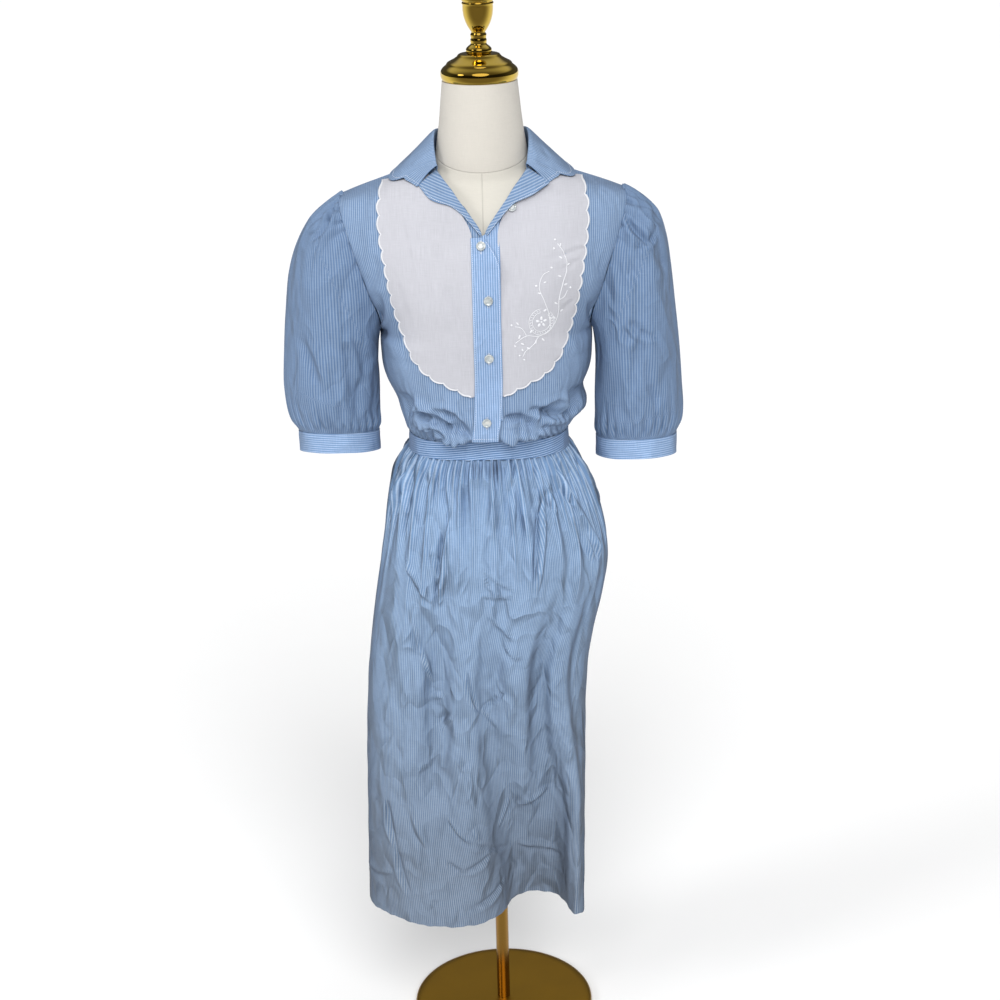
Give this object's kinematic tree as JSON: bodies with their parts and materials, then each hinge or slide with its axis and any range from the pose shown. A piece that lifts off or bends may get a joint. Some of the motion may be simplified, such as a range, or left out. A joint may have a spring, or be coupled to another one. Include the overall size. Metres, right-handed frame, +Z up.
{
  "type": "shirt dress on a limbless dress form",
  "caption": "Short-sleeved striped shirt dress with scalloped bibs, gathered waist and a flared skirt, resting on a limbless dress form with pole, disc foot and turned finial.",
  "frame": {"origin": "centre of the round foot's flat underside, on the floor under the pole", "axes": "+Z up along the pole, -Y towards the buttoned front, +X towards the wearer's left sleeve"},
  "size_m": [0.5689, 0.28, 1.587],
  "materials": {
    "striped_blue_cotton": "matte",
    "white_cotton": "matte",
    "pearl_button": "gloss",
    "form_linen": "matte",
    "polished_brass": "polished",
    "dark_brass": "satin"
  },
  "bodies": {
    "root": {"bodice_front_right": "striped_blue_cotton", "bodice_front_left": "striped_blue_cotton", "bodice_back": "striped_blue_cotton", "placket_right": "striped_blue_cotton", "placket_left": "striped_blue_cotton", "collar": "striped_blue_cotton", "lapel_right": "striped_blue_cotton", "lapel_left": "striped_blue_cotton", "sleeve_right": "striped_blue_cotton", "sleeve_left": "striped_blue_cotton", "cuff_right": "striped_blue_cotton", "cuff_left": "striped_blue_cotton", "waistband": "striped_blue_cotton", "skirt_front": "striped_blue_cotton", "skirt_back": "striped_blue_cotton", "bib_right": "white_cotton", "bib_left": "white_cotton", "button_1": "pearl_button", "button_2": "pearl_button", "button_3": "pearl_button", "button_4": "pearl_button", "button_5": "pearl_button", "form_torso": "form_linen", "neck_cap": "polished_brass", "finial": "polished_brass", "pole_flange": "polished_brass", "pole": "polished_brass", "base_disc": "dark_brass"}
  },
  "joints": []
}
